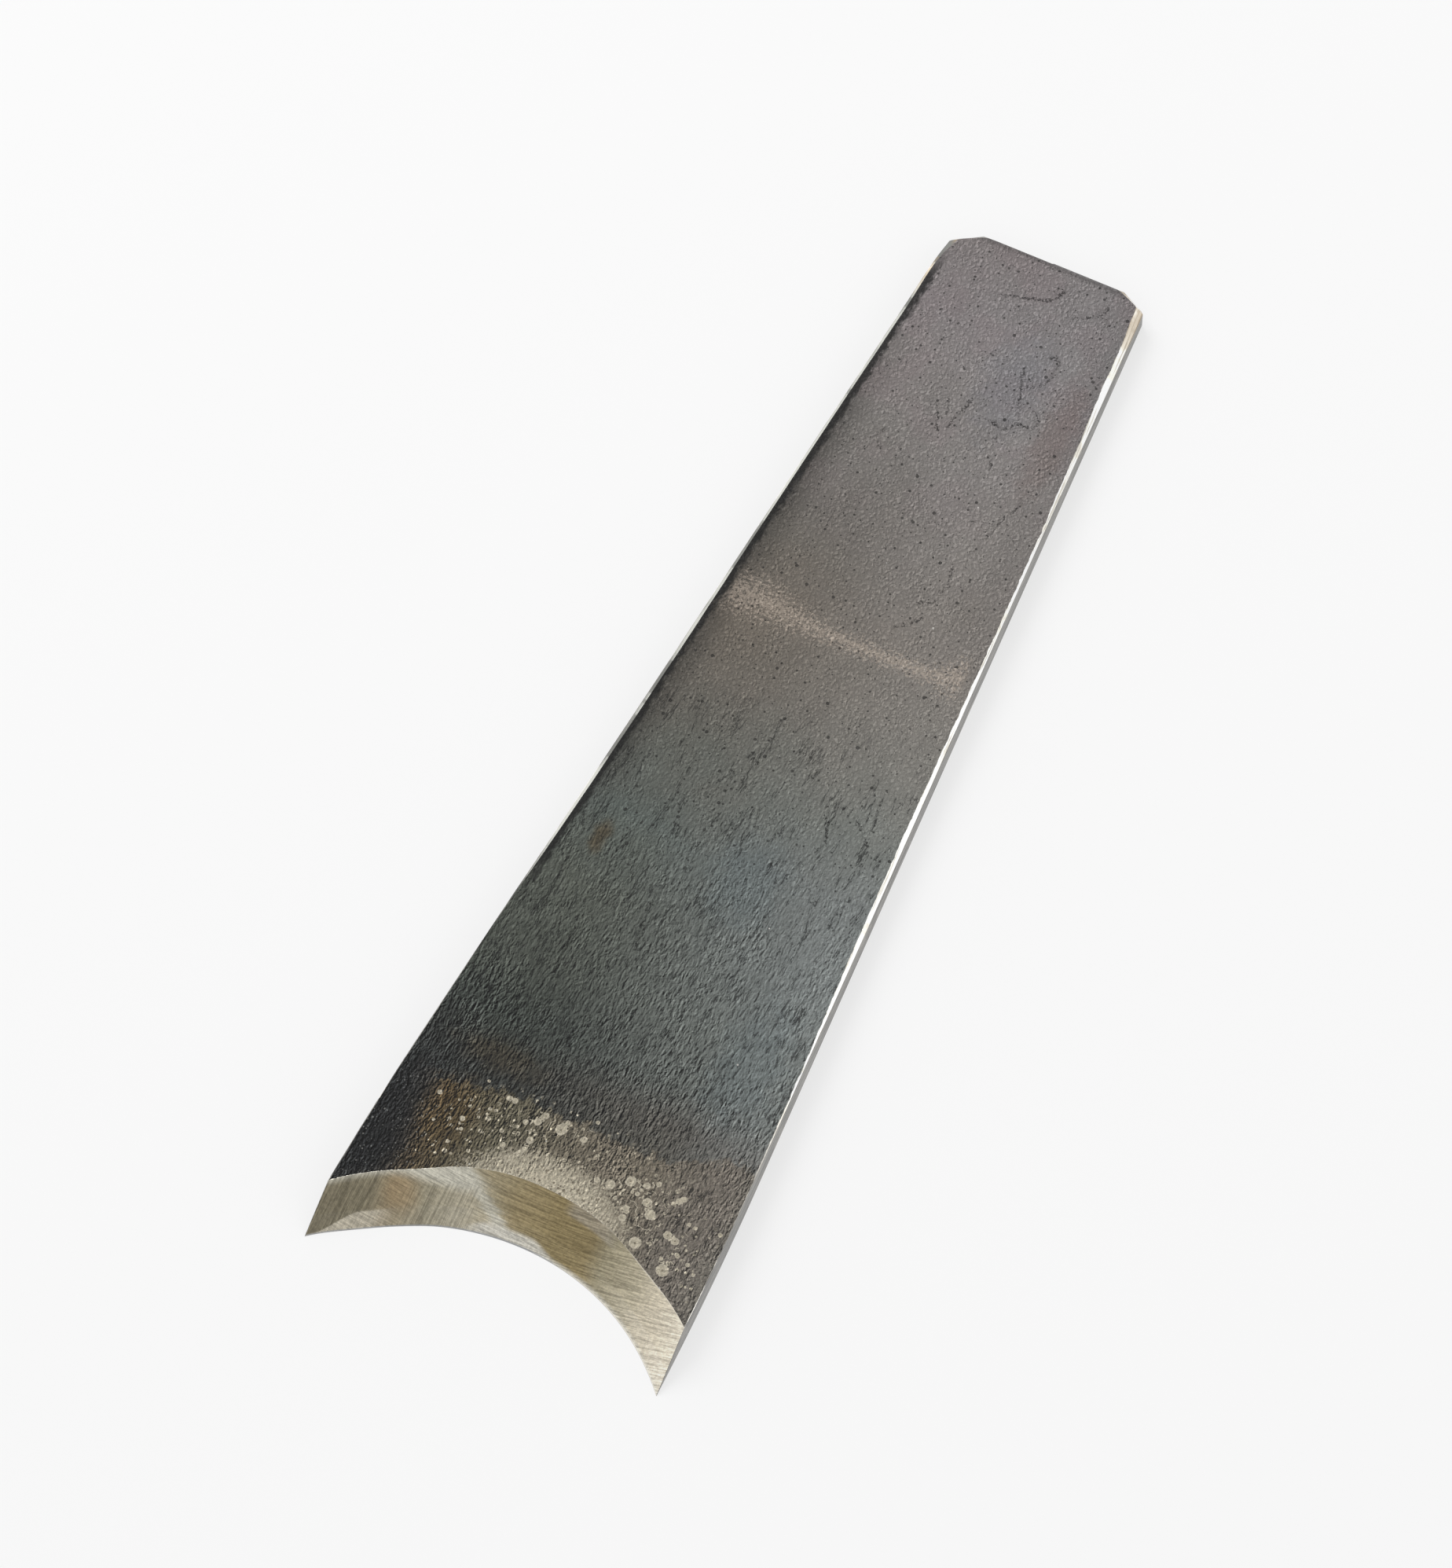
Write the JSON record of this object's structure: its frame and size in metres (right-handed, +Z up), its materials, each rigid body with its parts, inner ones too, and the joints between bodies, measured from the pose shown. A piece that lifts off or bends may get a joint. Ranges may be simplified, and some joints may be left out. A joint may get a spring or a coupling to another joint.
{
  "type": "plane iron",
  "caption": "Flat tapered plane iron of forge-welded iron and steel, with a concave bevelled cutting edge for rounding wood.",
  "frame": {"origin": "middle of the blade's bounding box on the plane of its flat back, 50 mm behind the line through the two tips", "axes": "+Y along the blade from the cutting edge to the head, +Z up through the thickness from the flat back to the scaled face, +X to the right seen from above with the head away"},
  "size_m": [0.0292, 0.1, 0.0023],
  "materials": {
    "scaled_iron": "black forge scale on the upper face, bare ground metal on the bevel, the arrises and the sides",
    "edge_steel": "coarse ground satin, scratched"
  },
  "bodies": {
    "root": {"soft_iron_body": "scaled_iron", "hard_steel_facing": "edge_steel"}
  },
  "joints": []
}
